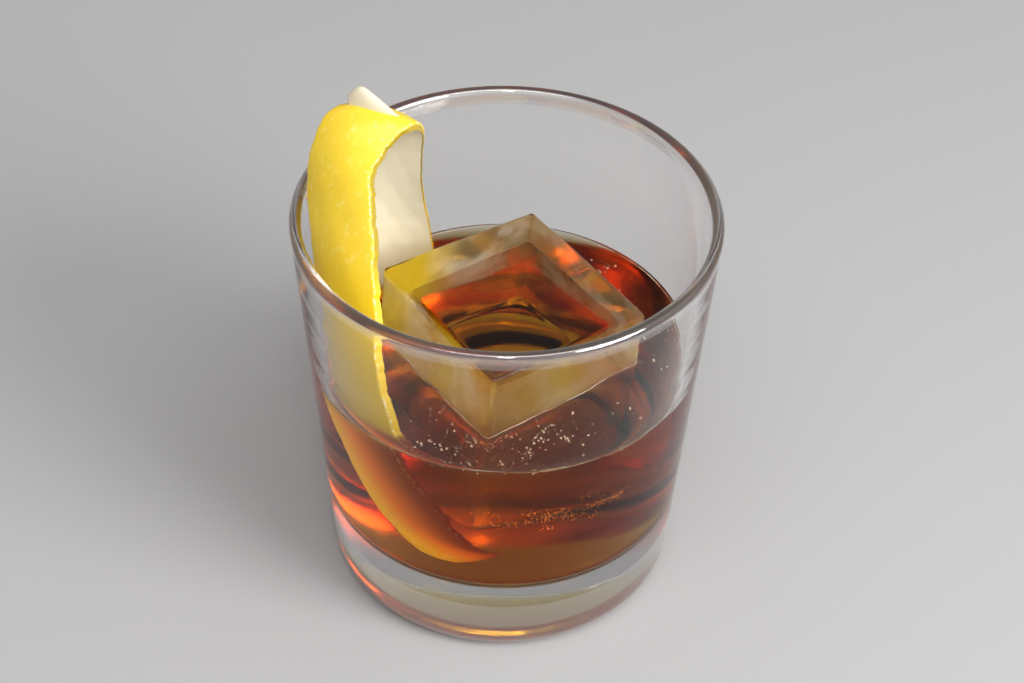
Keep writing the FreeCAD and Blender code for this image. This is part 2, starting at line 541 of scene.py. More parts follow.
# %% The block's outline and the hollow that it floats in
def square_outline(half_x, half_y, corner, side_steps, corner_steps):
    """Points round a rectangle with round corners: a side and a corner, four times."""
    points = []
    for quarter in range(4):
        across, along = (half_x, half_y) if quarter % 2 == 0 else (half_y, half_x)
        turn = quarter * math.pi / 2
        spin = np.array([[math.cos(turn), math.sin(turn)], [-math.sin(turn), math.cos(turn)]])
        side = np.linspace(-1, 1, side_steps, endpoint=False) * (along - corner)
        flat = np.stack([np.full(side_steps, across), side], -1)
        angle = np.linspace(0, math.pi / 2, corner_steps, endpoint=False)
        arc_out = np.stack([np.cos(angle), np.sin(angle)], -1)
        arc = np.array([across - corner, along - corner]) + corner * arc_out
        points += [flat @ spin, arc @ spin]
    return np.vstack(points)


ring = square_outline(ICE_HALF[0], ICE_HALF[1], ICE_EDGE, side_steps=44, corner_steps=9)

# Rows under the block go from its middle out to the edge, then up its side.
under = np.array([0.02, 0.2, 0.4, 0.6, 0.75, 0.88, 0.96, 1.0])
up_edge = np.linspace(0, ICE_EDGE, 5)[1:]
up_side = np.linspace(ICE_EDGE, 2 * ICE_HALF[2], 52)[1:]
reach = np.concatenate([under, np.ones(len(up_edge) + len(up_side))])
rise = np.concatenate([np.zeros(len(under)), up_edge, up_side])
flat_rows = ring * reach[:, None, None]
row_heights = np.broadcast_to((rise - ICE_HALF[2])[:, None, None], flat_rows.shape[:2] + (1,))
hollow = into_glass(rounded_block(np.concatenate([flat_rows, row_heights], -1), ICE_OVERLAP))


# %% The hollow ends where the drink wets the block
def cut_at(rows, first, height):
    """Rising rows that end at a height: each column is cut where it passes it.

    The rows from the first one on are then spread evenly again, by straight steps
    between a column's old points, the last of which is now the cut.
    """
    columns = np.arange(rows.shape[1])
    over = np.argmax(rows[..., 2] > height, axis=0)
    below, above = rows[over - 1, columns], rows[over, columns]
    share = (height - below[:, 2]) / (above[:, 2] - below[:, 2])
    cut = below + (above - below) * share[:, None]
    place = first + np.linspace(0, over - first, len(rows) - first)
    lower = np.minimum(place.astype(int), over - 1)
    upper = np.where((lower == over - 1)[..., None], cut, rows[lower + 1, columns])
    even = rows[lower, columns] + (upper - rows[lower, columns]) * (place - lower)[..., None]
    return np.concatenate([rows[:first], even])


hollow = cut_at(hollow, len(under), LEVEL + CLIMB)
ice_edge = hollow[-1]

# %% Across the surface to the wall
direction = np.arctan2(ice_edge[:, 1], ice_edge[:, 0])
wall_edge = round_axis(direction, bore_radius(LEVEL) + INTO_WALL, LEVEL)
share = np.linspace(0, 1, 60)[1:]
share = share - ROW_CROWDING * np.sin(2 * np.pi * share)
top_rows = ice_edge[None] + (wall_edge - ice_edge)[None] * share[:, None, None]
from_ice = np.linalg.norm(top_rows[..., :2] - ice_edge[None, :, :2], axis=-1)
from_wall = np.clip(bore_radius(LEVEL) - np.hypot(top_rows[..., 0], top_rows[..., 1]), 0, None)
top_rows[..., 2] = (LEVEL + CLIMB * np.exp(-from_ice / CLIMB_REACH)
                    + CLIMB * np.exp(-from_wall / CLIMB_REACH))

# %% Down inside the wall and back along the floor
drink_corner = rounded_corner((bore_radius(LEVEL), LEVEL), (bore_radius(FLOOR), FLOOR),
                              (0, FLOOR), FLOOR_CORNER, steps=14)
wall_line = np.vstack([run((bore_radius(LEVEL), LEVEL), drink_corner[0], steps=44)[1:],
                       drink_corner[:-1], run(drink_corner[-1], (POLE_RING, FLOOR), steps=12)])
slope = np.gradient(wall_line, axis=0)
wall_line = wall_line + unit(np.stack([-slope[:, 1], slope[:, 0]], -1)) * INTO_WALL
wall_rows = round_axis(direction, wall_line[:, :1], wall_line[:, 1:])
hollow_pole = into_glass(rounded_block(np.array([[0, 0, -ICE_HALF[2]]]), ICE_OVERLAP))[0]
drink = grid_piece("drink_body", np.concatenate([hollow, top_rows, wall_rows]),
                   first_pole=hollow_pole, last_pole=(0, 0, FLOOR - INTO_WALL), flip=True,
                   sharp_degrees=40)

# %% Values that the drink's finish reads: 1 on the open surface, 0 where it is wetted
is_open = np.concatenate([np.zeros(len(hollow) - 1), np.ones(1 + len(top_rows)),
                          np.zeros(len(wall_rows))])
store(drink, "open_surface", np.concatenate([np.repeat(is_open, len(direction)), [0, 0]]))

# %% [markdown]
# ## The lemon peel
#
# A peeler took a broad strip with all of its white pith. It stands in the drink, leans
# on the wall, folds over above the rim and comes down again behind the block. Its two
# cut edges are smooth lines through a few stations, and the strip is a section carried
# along them: zest outside, pith inside, and a cut edge at each side. A curve object
# with a bevel could carry one section too, but not one that turns with both edges.

# %% Stations of the two cut edges
PEEL_THICKNESS = 1.6 * MM
PEEL_CROWN = 1.6 * MM
PEEL_GAP = 0.5 * MM
PEEL_ROWS = 300
# Direction in degrees, distance in from the bore in mm, and height, for the left edge
# and then for the right one. A height under 1 is a share of the way from floor to rim,
# and a larger one is mm over the rim.
PEEL_STATIONS = np.array([
    (251.0, 1.2, 0.075, 279.0, 11.5, 0.080),
    (232.0, 0.8, 0.180, 262.0, 8.5, 0.115),
    (215.0, 0.2, 0.350, 246.5, 5.5, 0.295),
    (200.5, 0.3, 0.530, 233.5, 3.0, 0.510),
    (188.0, 0.3, 0.770, 218.0, 7.6, 0.800),
    (175.5, 0.1, 0.985, 200.5, 12.9, 0.985),
    (168.0, -0.6, 6.0, 184.0, 14.2, 8.6),
    (162.5, 0.6, 12.4, 169.0, 16.6, 12.0),
    (157.5, 3.4, 15.4, 154.0, 19.8, 14.4),
    (153.0, 3.6, 13.4, 145.0, 20.1, 12.6),
    (151.5, 1.5, 3.0, 139.0, 18.6, 3.0),
    (152.0, 1.0, 0.780, 132.5, 15.8, 0.780),
    (152.0, 0.7, 0.430, 124.0, 12.8, 0.430),
])


def station_points(degrees, inset, place):
    """A cut edge's points at the stations."""
    height = np.where(place < 1, FLOOR + place * (HEIGHT - FLOOR), HEIGHT + place * MM)
    radius = bore_radius(np.minimum(height, HEIGHT)) - PEEL_GAP - inset * MM
    return round_axis(np.radians(degrees), radius, height)


left_stations = station_points(*PEEL_STATIONS[:, :3].T)
right_stations = station_points(*PEEL_STATIONS[:, 3:].T)
travel = way_along((left_stations + right_stations) / 2)
print("peel length in mm:", round(travel[-1] / MM, 1))


# %% A smooth line through the stations
def smooth_line(knots, values, at):
    """Cubic spline: on each span a cubic, with slope and bend the same across knots.

    The bends at the knots solve one linear system. Both end bends equal their
    neighbours', which lets the line run straight on into its ends.
    """
    count = len(knots)
    step = np.diff(knots)[:, None]
    rise = np.diff(values, axis=0) / step
    system = np.zeros((count, count))
    inner = np.arange(1, count - 1)
    system[inner, inner - 1] = step[:-1, 0]
    system[inner, inner] = 2 * (step[:-1, 0] + step[1:, 0])
    system[inner, inner + 1] = step[1:, 0]
    system[0, :2] = (1, -1)
    system[-1, -2:] = (1, -1)
    right_side = np.zeros_like(values)
    right_side[1:-1] = 6 * np.diff(rise, axis=0)
    bend = np.linalg.solve(system, right_side)
    span = np.clip(np.searchsorted(knots, at) - 1, 0, count - 2)
    h = step[span]
    a = (knots[span + 1] - at)[:, None] / h
    b = 1 - a
    return (a * values[span] + b * values[span + 1]
            + ((a ** 3 - a) * bend[span] + (b ** 3 - b) * bend[span + 1]) * h ** 2 / 6)


along = np.linspace(0, travel[-1], PEEL_ROWS)
left_edge = smooth_line(travel, left_stations, along)
right_edge = smooth_line(travel, right_stations, along)
path = np.gradient((left_edge + right_edge) / 2, axis=0)
peel_out = unit(np.cross(right_edge - left_edge, path))
width = np.linalg.norm(right_edge - left_edge, axis=1)
fold = int(np.argmax(left_edge[:, 2] + right_edge[:, 2]))


# %% Rough cut edges and a tip that narrows
def soft_wander(place, seed, waves):
    """Sum of a few sines, each of a length and a size, with seeded phases."""
    phases = np.random.default_rng(seed).uniform(0, 2 * np.pi, len(waves))
    return sum(size * np.sin(2 * np.pi * place / length + phase)
               for (length, size), phase in zip(waves, phases))


TRIM = 0.22                  # mm that each cut lies inside its smooth line
LEFT_CUT = ((23, 0.20), (9.7, 0.14), (4.1, 0.09), (1.9, 0.06), (1.1, 0.05))
RIGHT_CUT = ((19, 0.20), (8.3, 0.14), (3.7, 0.10), (2.1, 0.08), (1.2, 0.07))
TIP_LENGTH, TIP_SHARE = 7 * MM, 0.75
# The front half was cut roughly. Behind the fold the knife ran more smoothly.
rough = np.interp(np.arange(PEEL_ROWS), [fold - 8, fold + 12], [1.0, 0.3])
trim_left = (TRIM + rough * soft_wander(along / MM, 3, LEFT_CUT)) * MM
trim_right = (TRIM + rough * soft_wander(along / MM, 8, RIGHT_CUT)) * MM
tip = np.clip(along / TIP_LENGTH, 0, 1)
tip_narrowing = 0.5 * width * (1 - np.sqrt(1 - (1 - tip) ** 2)) * TIP_SHARE
s_left = (np.clip(trim_left, 0, None) + tip_narrowing) / width
s_right = 1 - (np.clip(trim_right, 0, None) + tip_narrowing) / width

# %% The section, carried along
# Across the strip s runs from 0 at the left cut edge to 1 at the right one, and depth
# from 0 on the zest to 1 on the pith. The loop goes over the zest, down the right cut
# edge, back over the pith and up the left cut edge.
ACROSS, EDGE = 44, 9
SLANT = 0.25                 # mm: the knife left the pith reaching out past the zest
ZEST_SINK = 0.12             # mm: the zest lies this far under its smooth surface
face_s = np.linspace(0, 1, ACROSS)
edge_d = np.linspace(0, 1, EDGE)[1:-1]
loop_s = np.concatenate([face_s, np.ones(EDGE - 2), face_s[::-1], np.zeros(EDGE - 2)])
loop_d = np.concatenate([np.zeros(ACROSS), edge_d, np.ones(ACROSS), edge_d[::-1]])
s = s_left[:, None] + (s_right - s_left)[:, None] * loop_s[None]
crown = 4 * s * (1 - s)
slant = SLANT * MM * (1 - loop_d)
sideways = (right_edge - left_edge) / width[:, None]
base = left_edge[:, None] + (right_edge - left_edge)[:, None] * s[..., None]
inwards = np.where(loop_s > 0.5, -1.0, 1.0) * slant * (np.abs(loop_s - 0.5) > 0.49)
off_base = PEEL_CROWN * crown - PEEL_THICKNESS * loop_d[None]
strip = base + peel_out[:, None] * off_base[..., None] + sideways[:, None] * inwards[None, :, None]
# Gentle lumps of the rind, and a pith side that is a little uneven in thickness.
u = along[:, None] / MM
v = (s * width[:, None]) / MM
rind = (0.07 * np.sin(0.35 * u + 0.3 * v) * np.sin(0.32 * v + 1.0)
        + 0.03 * np.sin(0.8 * u - 0.7 * v + 2.0))
pith = 0.05 * np.sin(0.38 * u + 0.7 * v + 1.0) + 0.03 * np.sin(0.9 * u - 0.5 * v)
lift = ((rind - ZEST_SINK) * (1 - loop_d) - np.abs(pith) * loop_d) * MM
strip = strip + peel_out[:, None] * lift[..., None]
peel = grid_piece("lemon_strip", strip, first_pole=strip[0].mean(axis=0),
                  last_pole=strip[-1].mean(axis=0), sharp_degrees=50)

# %% Values that the peel's finish reads: depth, way across and mm from a cut
from_cut = np.minimum(s - s_left[:, None], s_right[:, None] - s) * width[:, None] / MM
for name, values, at_poles in (("depth", np.broadcast_to(loop_d, s.shape), 0.5),
                               ("across", s, 0.5), ("from_cut", from_cut, 0.0)):
    store(peel, name, np.concatenate([values.ravel(), [at_poles, at_poles]]))

# %% [markdown]
# ## The tongue of pith
#
# Where the strip turns over, the knife left a thick lip of pith standing along the
# back of the fold. It is a low tongue that tapers off to the right. Its section is a
# flattened round, which grows and shrinks along the tongue.

# %% Tongue along the fold
TONGUE_LENGTH = 11.0 * MM
TONGUE_HEIGHT = 5.2 * MM
TONGUE_THICKNESS = 1.15 * MM
TONGUE_BACK = 1.1 * MM       # behind the fold
TONGUE_START = 0.16          # share of the way from the left cut edge to the right one
TONGUE_ROOT = 0.6            # how far it goes down into the strip, as a share of its height
TONGUE_ROWS, TONGUE_SIDES = 40, 24
tongue_ahead = right_edge[fold] - left_edge[fold]
fold_width = np.linalg.norm(tongue_ahead)
tongue_ahead /= fold_width
tongue_start = (left_edge[fold] + tongue_ahead * fold_width * TONGUE_START
                + peel_out[fold] * PEEL_CROWN / 2)
tongue_back = np.cross(UP, tongue_ahead)
tongue_back *= np.sign(tongue_back[1]) / np.linalg.norm(tongue_back)
t = np.linspace(0, 1, TONGUE_ROWS)
crest = np.interp(t, [0, 0.03, 0.1, 0.28, 0.62, 1.0], [0.30, 0.52, 0.78, 1.0, 0.55, 0.0])
crest = np.convolve(np.pad(crest, 3, mode="edge"), np.ones(7) / 7, mode="valid")[:, None]
t = t[:, None]
turn = full_turn(TONGUE_SIDES)
half_height = TONGUE_HEIGHT * (crest + TONGUE_ROOT) / 2
middle_height = TONGUE_HEIGHT * (crest - TONGUE_ROOT) / 2
thick = TONGUE_THICKNESS * np.sqrt(np.clip(np.sin(np.pi * (0.06 + 0.9 * t)), 0, 1))
tongue_up = middle_height + half_height * np.sin(turn)
tongue_across = TONGUE_BACK + thick * np.cos(turn)
tongue_points = (tongue_start + tongue_ahead * (TONGUE_LENGTH * t)[..., None]
                 + UP * tongue_up[..., None] + tongue_back * tongue_across[..., None])
tongue = grid_piece("pith_tongue", tongue_points, first_pole=tongue_points[0].mean(axis=0),
                    last_pole=tongue_points[-1].mean(axis=0))

# %% [markdown]
# ## Bubbles
#
# A stirred drink keeps small bubbles at its surface: some alone, more in clumps, and
# most of them where the block and the wall stand close together. Each is a small ball
# that floats. They are one mesh, of balls with few faces, because they are only seen as
# dots. Still smaller specks hang in the drink in streaks, and a thin line of foam lies
# where the drink wets the wall and the block.

# %% Many small balls as one piece
BUBBLE_RANDOM = np.random.default_rng(21)


def ball(rings=5, sides=8):
    """Points and faces of a round ball of radius 1: rows of latitude between two poles."""
    latitude = np.linspace(-np.pi / 2, np.pi / 2, rings + 2)[1:-1, None]
    body = round_axis(full_turn(sides), np.cos(latitude), np.sin(latitude))
    points = np.vstack([body.reshape(-1, 3), -UP, UP])
    index = np.arange(rings * sides).reshape(rings, sides)
    right = np.roll(index, -1, axis=1)
    quads = np.stack([index[:-1], right[:-1], right[1:], index[1:]], -1).reshape(-1, 4).tolist()
    south = np.stack([right[0], index[0], np.full(sides, rings * sides)], -1).tolist()
    north = np.stack([index[-1], right[-1], np.full(sides, rings * sides + 1)], -1).tolist()
    return points, quads + south + north


def many_balls(name, centres, radii):
    """One piece of many balls. Each face of the ball is repeated for all of them at once."""
    points, faces = ball()
    all_points = (centres[:, None] + radii[:, None, None] * points[None]).reshape(-1, 3)
    first_point = len(points) * np.arange(len(centres))[:, None]
    all_faces = [copy for face in faces for copy in (np.array(face) + first_point).tolist()]
    return mesh_piece(name, all_points, all_faces)


# %% Bubbles on the surface
def surface_spots(count, low_degrees, high_degrees, crowding):
    """Spots on the open surface between the block and the wall.

    A crowding under 1 sends them towards the wall, and one over 1 towards the block.
    """
    turn = np.radians(BUBBLE_RANDOM.uniform(low_degrees, high_degrees, count))
    off = np.abs(np.angle(np.exp(1j * (direction[None] - turn[:, None]))))
    nearest = ice_edge[np.argmin(off, axis=1)]
    inner = np.hypot(nearest[:, 0], nearest[:, 1]) + 0.6 * MM
    outer = bore_radius(LEVEL) - 0.5 * MM
    share = BUBBLE_RANDOM.uniform(0, 1, count) ** crowding
    return round_axis(turn, inner + (outer - inner) * share, LEVEL)


def clumps(centres, each, spread):
    """Bubbles that crowd about each of the centres."""
    around = BUBBLE_RANDOM.normal(0, spread, (len(centres), each, 3)) * np.array([1.0, 1.0, 0.0])
    return (centres[:, None] + around).reshape(-1, 3)


def on_open_drink(places):
    """The places that lie on the open surface, clear of the wall and the block."""
    beside = (np.abs(into_block(places)[:, :2]) > ICE_HALF[:2] + 0.2 * MM).any(axis=1)
    return places[beside & (np.hypot(places[:, 0], places[:, 1]) < bore_radius(LEVEL) - 0.3 * MM)]


AT_BLOCK, AT_WALL = 1.4, 0.5
spots = on_open_drink(np.vstack([
    surface_spots(120, 232, 312, AT_BLOCK),
    surface_spots(100, 225, 330, AT_WALL),
    surface_spots(60, -20, 60, AT_WALL),
    clumps(surface_spots(16, 238, 305, AT_BLOCK), 16, 0.9 * MM),
    clumps(surface_spots(6, 0, 50, AT_WALL), 8, 0.8 * MM),
]))
sizes = BUBBLE_RANDOM.gamma(2.0, 0.055, len(spots)).clip(0.06, 0.30) * MM
spots[:, 2] += 0.25 * sizes
bubbles = many_balls("surface_bubbles", spots, sizes)

# %% Specks that hang in the drink just inside the wall, in streaks
STREAKS, IN_STREAK = 30, 14
speck_turn = np.radians(BUBBLE_RANDOM.uniform(-100, -50, (STREAKS, 1))
                        + BUBBLE_RANDOM.normal(0, 3.0, (STREAKS, IN_STREAK))).ravel()
speck_height = (BUBBLE_RANDOM.normal(41.5, 2.2, (STREAKS, 1))
                + BUBBLE_RANDOM.normal(0, 0.35, (STREAKS, IN_STREAK))).ravel() * MM
speck_radius = bore_radius(speck_height) - BUBBLE_RANDOM.uniform(0.3, 2.0, len(speck_turn)) * MM
specks = many_balls("drifting_specks", round_axis(speck_turn, speck_radius, speck_height),
                    BUBBLE_RANDOM.uniform(0.04, 0.13, len(speck_turn)) * MM)


# %% Lines of foam where the drink wets the wall and the block
def closed_tube(name, loop, radius, sides=8):
    """Tube of a radius round a closed line of points: each ring stands across the line."""
    ahead = unit(np.roll(loop, -1, axis=0) - np.roll(loop, 1, axis=0))
    aside = unit(np.cross(ahead, UP))
    up = np.cross(aside, ahead)
    turn = full_turn(sides)[None, :, None]
    across = aside[:, None] * np.cos(turn) + up[:, None] * np.sin(turn)
    return grid_piece(name, loop[:, None] + radius[:, None, None] * across,
                      wrap_rows=True, flip=True)


def foam_line(name, loop):
    """A line of foam that swells and thins along a loop."""
    swell = 0.085 + soft_wander(way_along(loop) / MM, 31, FOAM_SWELL)
    return closed_tube(name, loop, np.clip(swell, 0.02, None) * MM)


FOAM_SWELL = ((17, 0.03), (7.3, 0.02), (3.1, 0.02), (1.3, 0.015))
FOAM_WAVES = ((0.05, 0.12 * MM), (0.019, 0.08 * MM))
FOAM_OUT, FOAM_DOWN = 0.25 * MM, 0.3 * MM      # from the wetted edges
around_ice = ice_edge + np.array([0, 0, -FOAM_DOWN])
around_ice[:, :2] *= 1 + FOAM_OUT / np.linalg.norm(around_ice[:, :2], axis=1, keepdims=True)
foam_at_ice = foam_line("foam_at_ice", around_ice)
wall_turn = full_turn(360)
foam_radius = bore_radius(LEVEL) - FOAM_OUT
foam_height = LEVEL + (CLIMB * 0.75 + soft_wander(wall_turn * foam_radius, 5, FOAM_WAVES))
foam_at_wall = foam_line("foam_at_wall", round_axis(wall_turn, foam_radius, foam_height))

# %% [markdown]
# ## Finishes
#
# Glass, drink and ice are clear, so their look is all in how strongly they bend light
# and in what they swallow. The drink's colour is absorption only: thin parts are
# honey coloured, and deep parts go to a dark red-brown, as a real spirit does.
#
# Where glass meets drink, or drink meets ice, next to nothing is reflected, because the
# two bend light almost alike. So wet faces bend light as dry ones do, but don't mirror.
# mirror is the share that is left of the plain reflection.

# %% Glass: a dry wall, a wet one, and a lip and base
# The dry wall keeps little of its mirror, because a pale floor in it would veil the
# drink. The lip and the base keep all of it, and a coat, which draws the rim.
def glass_finish(name, mirror, **more):
    """Clear glass with faint smears in its gloss."""
    finish = Finish(name)
    smears = finish.noise(9 * MM, 3.0).over(0.62, 0.9) * 0.02
    return finish.surface(finish.clear_shader(1.5, mirror, Roughness=smears, **more))


put_on(glass, "glass", "glass", glass_finish("polished_glass", 0.08),
       glass_finish("polished_glass_wet", 0.0),
       glass_finish("polished_lip", 1.0, Coat_Weight=1.0, Coat_IOR=2.2, Coat_Roughness=0.03))
DRY_WALL, WET_WALL, LIP = 0, 1, 2
middles = face_middles(glass)
height = middles[:, 2]
inside = np.hypot(middles[:, 0], middles[:, 1]) < bore_radius(height) + LOW_WALL / 2
wetted = inside & (height > FLOOR - LOW_WALL / 2) & (height < LEVEL + CLIMB)
on_lip = (height > HEIGHT - 1.5 * LIP_THICKNESS) | (height < FLOOR - LOW_WALL)
give_faces(glass, np.where(wetted, WET_WALL, np.where(on_lip, LIP, DRY_WALL)))
print("wet faces of the glass:", int(wetted.sum()))

# %% Drink: its wetted skin is a little blurred, and its open surface is clear
DRINK_BENDS = 1.35
DRINK_ABSORBS = np.array([15.0, 55.0, 320.0])     # red, green and blue, per metre
drink_finish = Finish("amber_drink")
drink_finish.surface(drink_finish.blend(
    drink_finish.stored("open_surface"),
    drink_finish.clear_shader(DRINK_BENDS, 0.0, Roughness=0.12),
    drink_finish.clear_shader(DRINK_BENDS, 0.35, Roughness=0.0)))
put_on(drink, "drink", "drink", drink_finish.volume(DRINK_ABSORBS))


# %% Where the block has frost with painted sheen, and where a painted image of the peel lies on it
def ice_cover(own):
    """How much frost there is at points of the block, and how much of a painted image of the peel.

    own is in the block's own axes. Frost lies on the dry sides, deeper on the far ones
    and thinner on the front one, and its film carries a painted sheen. The painted image
    of the peel lies on the sides next to the peel.
    """
    x, y = own[:, 0], own[:, 1]
    over_water = into_glass(own)[:, 2] - LEVEL
    on_right, on_back, on_left, on_front = (ramp(v, 17 * MM, 19.5 * MM) for v in (x, y, -x, -y))
    far_side = np.maximum(on_right, on_back)
    deeper = 8 * MM * far_side * ramp(x + y, -5 * MM, 30 * MM)
    frost = ramp(over_water + deeper, -0.5 * MM, 0.8 * MM)
    frost *= (1 + 0.5 * far_side) * (1 - 0.65 * on_front * ramp(-x, -16 * MM, -4 * MM))
    painted_peel_image = np.maximum(on_back * ramp(-x, -2 * MM, 9 * MM), on_left * ramp(y, 0, 14 * MM) * 0.7)
    return frost, painted_peel_image * ramp(over_water, -9 * MM, -4 * MM)


for name, values in zip(("frost", "painted_peel_image"), ice_cover(box_points)):
    store(ice, name, values)

# %% Ice: clear on top, frosted with painted sheen at the dry sides, clear again where it is wetted
# The film is frost with painted sheen, and next to the peel it is a painted image of the peel.
FROST = 0.30                 # share of the film where the frost is full
PAINTED_PEEL_SHARE = 0.72            # share of the film next to the peel


def clear_ice(finish, mirror):
    """Clear ice with a slow wave of melt in its gloss."""
    wet = finish.noise(6 * MM, 2.0)
    return finish.clear_shader(1.31, mirror, Roughness=wet.over(0.5, 0.8) * 0.03,
                               Normal=finish.bump(wet, 0.1 * MM, 0.2))


def ice_finish(name, mirror):
    """Ice without frost."""
    finish = Finish(name)
    return finish.surface(clear_ice(finish, mirror))


def frosted_ice_finish():
    """Ice under a thin film of frost tinted with painted sheen; next to the peel a painted image
    of the peel's colour takes its place.
    """
    finish = Finish("frosted_ice_painted_sheen")
    patches = finish.noise(11 * MM, 4.0)
    painted_peel_image = finish.stored("painted_peel_image")
    # Painted sheen: the frost is tinted amber to pale tan for the light that it catches, and next
    # to the peel it takes the peel's colour, a painted image of the peel seen through the block.
    frost_sheen_tone = finish.mix(patches.over(0.35, 0.65), (0.95, 0.66, 0.22), (0.96, 0.84, 0.62))
    frost_sheen_tone = finish.mix(painted_peel_image, frost_sheen_tone, (0.96, 0.66, 0.015))
    film = finish.shader(Base_Color=frost_sheen_tone, Roughness=0.5)
    frost = finish.stored("frost") * FROST * (0.6 + patches.over(0.35, 0.7) * 0.8)
    share = frost + painted_peel_image * PAINTED_PEEL_SHARE
    return finish.surface(finish.blend(share, clear_ice(finish, 1.0), film))


put_on(ice, "ice", "ice_block", ice_finish("melting_ice", 1.0),
       ice_finish("melting_ice_wet", 0.0), frosted_ice_finish())
CLEAR_ICE, WET_ICE, FROSTED_ICE = 0, 1, 2
own_middles = into_block(face_middles(ice))
covered = np.maximum(*ice_cover(own_middles)) > 0.02
on_top = own_middles[:, 2] > ICE_HALF[2] - 1.5 * ICE_EDGE
give_faces(ice, np.where(on_top, CLEAR_ICE, np.where(covered, FROSTED_ICE, WET_ICE)))

# %% Where the zest ends and the pith begins
rind_finish = Finish("lemon_rind")
mix, noise, stored = rind_finish.mix, rind_finish.noise, rind_finish.stored
depth, cut_distance, way_across = stored("depth"), stored("from_cut"), stored("across")
above_foot = rind_finish.add("ShaderNodeSeparateXYZ", None,
                             {"Vector": rind_finish.place()}).out("Z")
ragged = noise(0.7 * MM, 3.0)
# Near a cut the pith face keeps the zest's colour, so the painted shade of the cut edge reaches
# onto it.
near_cut = 1 - cut_distance.over(0.20, 0.50)
skin = 1 - (depth + (ragged - 0.5) * 0.2).over(0.76, 0.90) * (1 - near_cut)
# White dots along the zest side of a cut: bits of bare pith, and painted highlights where the
# ragged cut catches the light.
pith_and_glint_dots = (0.7 * (1 - cut_distance.over(0.15, 0.50)) * (1 - depth.over(0.10, 0.24))
            * ragged.over(0.51, 0.60))
zest_here = skin * (1 - pith_and_glint_dots)

# %% Colours of the zest: pores, pale mottling, painted shade on the cut edge, a damp lower half
pores = rind_finish.add("ShaderNodeTexVoronoi", {"feature": "F1"},
                        {"Vector": rind_finish.place(), "Scale": 1 / (0.95 * MM)})
pore_dots = 1 - pores.over(0.05, 0.38)
mottle = noise(1.8 * MM, 3.0).over(0.54, 0.70)
damp = 1 - above_foot.over(HEIGHT - 12 * MM, HEIGHT - 2 * MM)
zest = mix(noise(7 * MM, 3.0), (0.90, 0.57, 0.02), (0.89, 0.66, 0.045))
zest = mix(pore_dots * 0.08, zest, (0.80, 0.50, 0.01))
zest = mix(mottle * 0.40, zest, (0.96, 0.78, 0.20))
# Painted shade: the cut edge and the pith beside it turn dark olive, for the shade that they lie
# in.
zest = mix(depth.over(0.05, 0.4), zest, (0.44, 0.31, 0.02))
zest = mix(damp, zest, (0.90, 0.57, 0.004))
pith_colour = mix(noise(2.5 * MM, 4.0), (0.97, 0.86, 0.60), (0.98, 0.92, 0.72))

# %% In the drink the soaked rind is painted orange, with a painted glow as if light from behind shone through it
# Its left cut edge lies at the wall; further right it sinks away into the dark drink.
soaked = 1 - above_foot.over(LEVEL - 3 * MM, LEVEL + 1 * MM)
away, far_away = way_across.over(0.03, 0.50), way_across.over(0.30, 0.95)
# Painted shade and tint: away from the wall the rind is painted redder and darker, as the drink in
# front would make it.
zest_painted_in_drink = mix(away, (0.95, 0.55, 0.01), (0.90, 0.30, 0.005))
zest_painted_in_drink = mix(far_away, zest_painted_in_drink, (0.30, 0.06, 0.004))
# Painted glow: an emission that stands for light from behind shining through the rind.
painted_glow = mix(away, (0.34, 0.16, 0.0), (0.27, 0.055, 0.0))
painted_glow = mix(far_away, painted_glow, (0.04, 0.004, 0.0))
relief = zest_here * pore_dots * -1.0 + ragged * (1 - zest_here) * 0.6
rind_finish.surface(rind_finish.shader(
    Base_Color=mix(zest_here, pith_colour, mix(soaked, zest, zest_painted_in_drink)),
    Emission_Color=mix(soaked, (0.0, 0.0, 0.0), painted_glow), Emission_Strength=1.0,
    Roughness=0.62 - zest_here * 0.27, Normal=rind_finish.bump(relief, 0.05 * MM, 0.6)))
put_on(peel, "lemon_peel", "lemon_peel", rind_finish)

# %% Pith of the tongue, painted darker than the strip's pith as painted shade
shaded_pith_finish = Finish("lemon_pith_painted_shade")
shaded_pith_finish.surface(shaded_pith_finish.shader(
    Base_Color=shaded_pith_finish.mix(shaded_pith_finish.noise(2.5 * MM, 4.0), (0.70, 0.62, 0.43),
                               (0.74, 0.68, 0.51)),
    Roughness=0.65, Normal=shaded_pith_finish.bump(shaded_pith_finish.noise(0.6 * MM, 3.0), 0.1 * MM, 0.6)))
put_on(tongue, "lemon_peel", "lemon_peel", shaded_pith_finish)

# %% Bubbles and specks
# The pale warm base is partly the foam's own pale colour and partly painted highlight and amber
# light in the clear bubbles.
bubble_finish = Finish("bubble_film")
bubble_finish.surface(bubble_finish.shader(
    Base_Color=(1.0, 0.84, 0.62), Transmission_Weight=0.45, IOR=1.2, Roughness=0.05))
for piece in (bubbles, foam_at_ice, foam_at_wall):
    put_on(piece, "drink", "drink", bubble_finish)
# Painted glints: the specks are painted orange and glow by an emission, for the light that they
# catch in the drink.
speck_glint_finish = Finish("amber_speck_painted_glint")
speck_glint_finish.surface(speck_glint_finish.shader(
    Base_Color=(1.0, 0.50, 0.16), Roughness=0.5, Emission_Color=(0.34, 0.10, 0.01),
    Emission_Strength=1.0))
put_on(specks, "drink", "drink", speck_glint_finish)

# %% [markdown]
# ## Floor, light and camera
#
# The floor is a plain pale sheet. A soft even sky fills everything, and is a little
# brighter in two broad patches, at the front and at the right, which the glass mirrors.
# A large lamp at the right gives the shapes a side and reaches the pith, a wide one
# above draws the rim, and a small one puts a clean highlight on the block.

